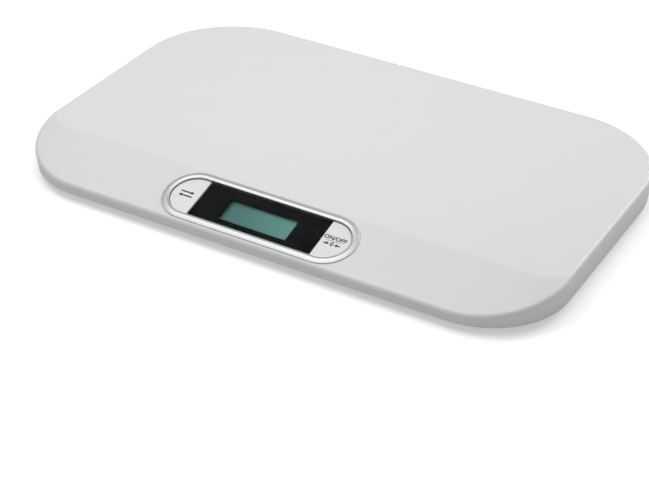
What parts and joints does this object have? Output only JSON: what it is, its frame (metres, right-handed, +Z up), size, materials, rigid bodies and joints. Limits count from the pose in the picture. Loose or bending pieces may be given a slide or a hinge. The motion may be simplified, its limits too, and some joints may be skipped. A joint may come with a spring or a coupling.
{
  "type": "digital baby scale",
  "caption": "Low flat weighing platform with rounded corners, a sloped display side with window and keys in a long silver ring, weighing feet and a battery bay.",
  "frame": {"origin": "on the floor, under the middle of the platform", "axes": "+X along the width, with the display side towards the viewer; +Y to the back; +Z up"},
  "size_m": [0.55, 0.35, 0.0344],
  "materials": {
    "white_abs": "fine satin, injection moulded ABS",
    "key_abs": "satin, injection moulded ABS",
    "silver_trim": "satin silver plated ABS",
    "window_black": "polished, back-printed acrylic",
    "lcd": "teal reflective liquid crystal glass",
    "tape": "foam adhesive tape",
    "grey_abs": "moulded grey ABS",
    "black_plastic": "moulded, matt",
    "conductive_rubber": "layered conductive rubber",
    "board_green": "solder mask on glass-fibre laminate",
    "resin": "black resin drop",
    "component_tan": "mixed board components",
    "screw_steel": "zinc plated",
    "cell_steel": "stamped spring steel, nickel plated",
    "gauge_coat": "white silicone coating",
    "foot_plastic": "moulded dark grey ABS",
    "pad_rubber": "moulded, matt",
    "nickel": "nickel plated spring steel",
    "cell_jacket": "plain battery jacket",
    "lead_red": "insulated wire",
    "lead_grey": "sleeved wire bundle"
  },
  "bodies": {
    "platform": {"top_cover": "white_abs", "bottom_cover": "white_abs", "bezel_ring": "silver_trim", "display_window": "window_black", "window_tape": "tape", "display_carrier": "grey_abs", "lcd_glass": "lcd", "lcd_frame": "grey_abs", "zebra_strips": "conductive_rubber", "main_board": "board_green", "board_chip": "resin", "board_components": "component_tan", "key_switches": "black_plastic", "board_screws": "screw_steel", "carrier_screws": "screw_steel", "load_cells": "cell_steel", "strain_gauges": "gauge_coat", "cell_brackets": "grey_abs", "bracket_screws": "screw_steel", "foot_front_left": "foot_plastic", "foot_front_right": "foot_plastic", "foot_back_left": "foot_plastic", "foot_back_right": "foot_plastic", "pad_front_left": "pad_rubber", "pad_front_right": "pad_rubber", "pad_back_left": "pad_rubber", "pad_back_right": "pad_rubber", "battery_contacts": "nickel", "battery_springs": "nickel", "battery_cells": "cell_jacket", "battery_leads": "lead_red", "load_cell_leads": "lead_grey", "case_screws": "screw_steel"},
    "unit_key": {"unit_button": "key_abs", "unit_plunger": "black_plastic"},
    "power_key": {"power_tare_button": "key_abs", "power_tare_plunger": "black_plastic"},
    "door": {"battery_door": "white_abs"}
  },
  "joints": [
    {"name": "unit_press", "type": "slide", "parent": "platform", "child": "unit_key", "axis": [0, 0.2425, -0.9701], "range_m": [0, 0.0007], "stiffness_N_per_m": 1800},
    {"name": "power_press", "type": "slide", "parent": "platform", "child": "power_key", "axis": [0, 0.2425, -0.9701], "range_m": [0, 0.0007], "stiffness_N_per_m": 1800},
    {"name": "door_swing", "type": "hinge", "parent": "platform", "child": "door", "pos_m": [0.06, 0.05595, 0.0082], "axis": [1, 0, 0], "range_deg": [0, 95]}
  ]
}
